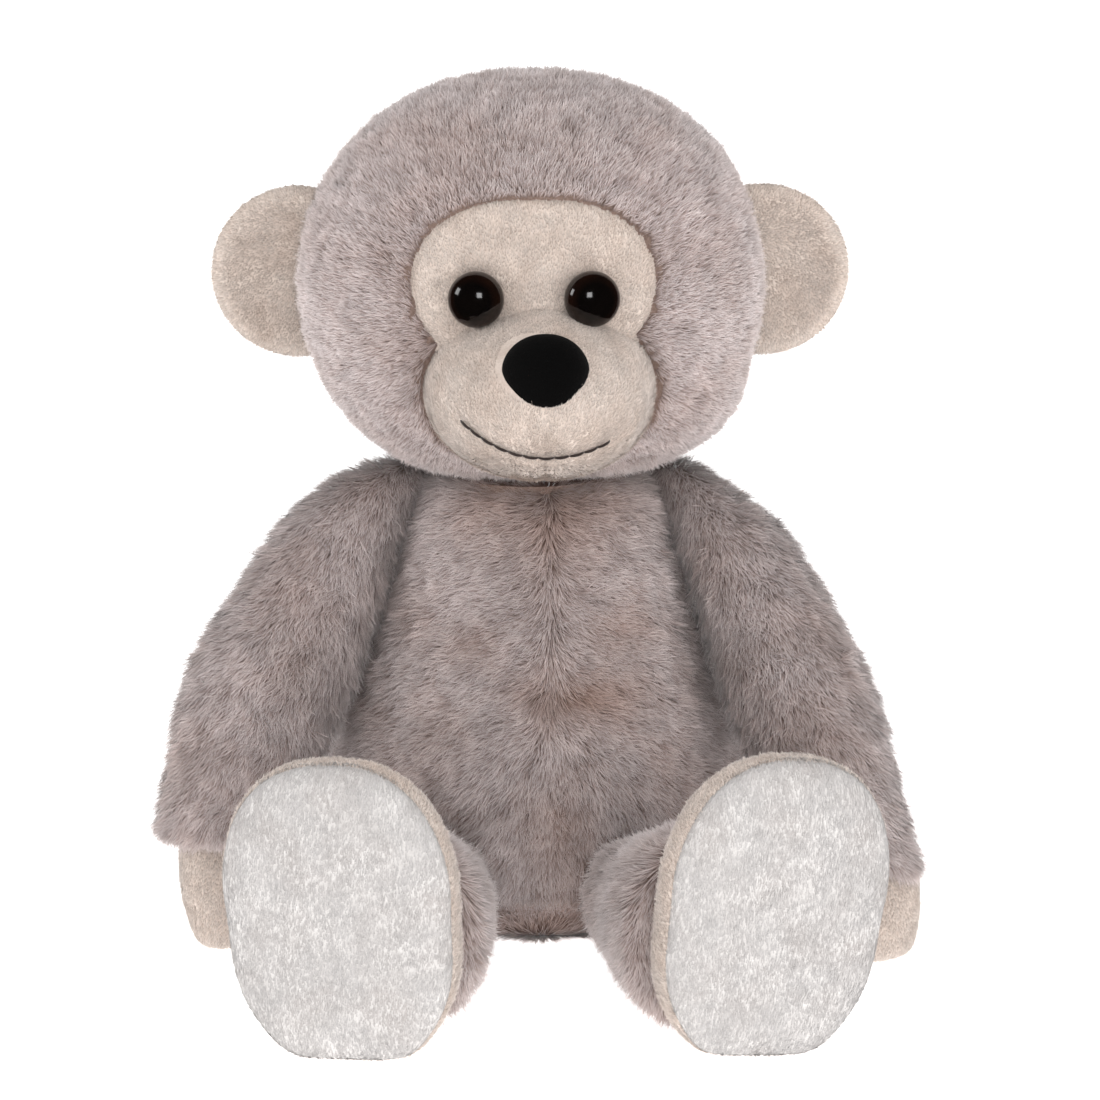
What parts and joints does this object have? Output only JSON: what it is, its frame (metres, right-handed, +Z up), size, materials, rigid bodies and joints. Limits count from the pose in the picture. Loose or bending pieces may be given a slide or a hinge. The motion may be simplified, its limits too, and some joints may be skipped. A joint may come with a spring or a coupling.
{
  "type": "stuffed monkey",
  "caption": "Seated plush monkey with a round furry head, cream face, muzzle and ears, glossy eyes, long arms, and large flat-soled feet.",
  "frame": {"origin": "middle of the flat seat panel, on the surface the toy sits on", "axes": "+Z up; the toy faces -Y; +X is the toy's own left, on the right of someone who faces it"},
  "size_m": [0.2152, 0.2036, 0.242],
  "materials": {
    "plush_fur": "grey-taupe plush with an 8 to 10 mm pile, matt with a soft sheen",
    "cream_plush": "cream short-pile plush, about 2 mm pile",
    "white_plush": "off-white short-pile plush, about 2 mm pile",
    "black_flock": "black flocked cloth, matt",
    "eye_plastic": "near-black gloss plastic with a brown depth at the rim",
    "washer_plastic": "natural white moulded plastic",
    "brown_thread": "dark brown embroidery thread",
    "fibrefill": "white polyester fibrefill",
    "bean_bag_cloth": "off-white lining cloth"
  },
  "bodies": {
    "torso": {"torso_plush": "plush_fur", "seat_panel": "plush_fur", "torso_fibrefill": "fibrefill", "bean_bag": "bean_bag_cloth"},
    "neck": {"neck_seam": "plush_fur"},
    "head": {"head_plush": "plush_fur", "brow_panel": "cream_plush", "muzzle_panel": "cream_plush", "muzzle_fibrefill": "fibrefill", "head_fibrefill": "fibrefill", "nose": "black_flock", "nose_washer": "washer_plastic", "eye_left": "eye_plastic", "eye_right": "eye_plastic", "eye_washer_left": "washer_plastic", "eye_washer_right": "washer_plastic", "mouth_stitch": "brown_thread"},
    "ear_left": {"ear_front_left": "cream_plush", "ear_back_left": "cream_plush"},
    "arm_left": {"arm_plush_left": "plush_fur", "arm_fibrefill_left": "fibrefill"},
    "hand_left": {"hand_left": "cream_plush", "hand_fibrefill_left": "fibrefill"},
    "leg_left": {"leg_plush_left": "plush_fur", "leg_fibrefill_left": "fibrefill"},
    "foot_left": {"foot_left": "cream_plush", "foot_fibrefill_left": "fibrefill", "sole_left": "white_plush"},
    "ear_right": {"ear_front_right": "cream_plush", "ear_back_right": "cream_plush"},
    "arm_right": {"arm_plush_right": "plush_fur", "arm_fibrefill_right": "fibrefill"},
    "hand_right": {"hand_right": "cream_plush", "hand_fibrefill_right": "fibrefill"},
    "leg_right": {"leg_plush_right": "plush_fur", "leg_fibrefill_right": "fibrefill"},
    "foot_right": {"foot_right": "cream_plush", "foot_fibrefill_right": "fibrefill", "sole_right": "white_plush"}
  },
  "joints": [
    {"name": "head_turn", "type": "hinge", "parent": "torso", "child": "neck", "pos_m": [-0.002, 0, 0.138], "axis": [0, 0, 1], "range_deg": [-40, 40], "stiffness_Nm_per_rad": 0.3},
    {"name": "head_nod", "type": "hinge", "parent": "neck", "child": "head", "pos_m": [-0.002, 0, 0.138], "axis": [0.9998, 0.0192, 0], "range_deg": [-18, 16], "stiffness_Nm_per_rad": 0.3},
    {"name": "arm_swing_left", "type": "hinge", "parent": "torso", "child": "arm_left", "pos_m": [0.04068, 0, 0.1082], "axis": [0.944, 0, 0.3299], "range_deg": [-14, 60]},
    {"name": "wrist_bend_left", "type": "hinge", "parent": "arm_left", "child": "hand_left", "pos_m": [0.09025, -0.05496, 0.0345], "axis": [0.944, 0, 0.3299], "range_deg": [-22, 22], "stiffness_Nm_per_rad": 0.01},
    {"name": "leg_lift_left", "type": "hinge", "parent": "torso", "child": "leg_left", "pos_m": [0.031, -0.05858, 0.0173], "axis": [-0.9304, -0.3665, 0], "range_deg": [-25, 55]},
    {"name": "ankle_bend_left", "type": "hinge", "parent": "leg_left", "child": "foot_left", "pos_m": [0.05299, -0.11441, 0.0278], "axis": [-0.9304, -0.3665, 0], "range_deg": [-13, 13], "stiffness_Nm_per_rad": 0.05},
    {"name": "ear_fold_left", "type": "hinge", "parent": "head", "child": "ear_left", "pos_m": [0.06443, 0.00428, 0.18803], "axis": [0, 0, 1], "range_deg": [-13, 13], "stiffness_Nm_per_rad": 0.002},
    {"name": "arm_swing_right", "type": "hinge", "parent": "torso", "child": "arm_right", "pos_m": [-0.03876, 0, 0.1137], "axis": [0.944, 0, -0.3299], "range_deg": [-30, 55]},
    {"name": "wrist_bend_right", "type": "hinge", "parent": "arm_right", "child": "hand_right", "pos_m": [-0.09244, -0.04305, 0.0345], "axis": [0.944, 0, -0.3299], "range_deg": [-22, 22], "stiffness_Nm_per_rad": 0.01},
    {"name": "leg_lift_right", "type": "hinge", "parent": "torso", "child": "leg_right", "pos_m": [-0.031, -0.05858, 0.0173], "axis": [-0.9681, 0.2504, 0], "range_deg": [-25, 55]},
    {"name": "ankle_bend_right", "type": "hinge", "parent": "leg_right", "child": "foot_right", "pos_m": [-0.04602, -0.11667, 0.0278], "axis": [-0.9681, 0.2504, 0], "range_deg": [-13, 13], "stiffness_Nm_per_rad": 0.05},
    {"name": "ear_fold_right", "type": "hinge", "parent": "head", "child": "ear_right", "pos_m": [-0.06855, 0.00172, 0.18803], "axis": [0, 0, -1], "range_deg": [-13, 13], "stiffness_Nm_per_rad": 0.002}
  ]
}
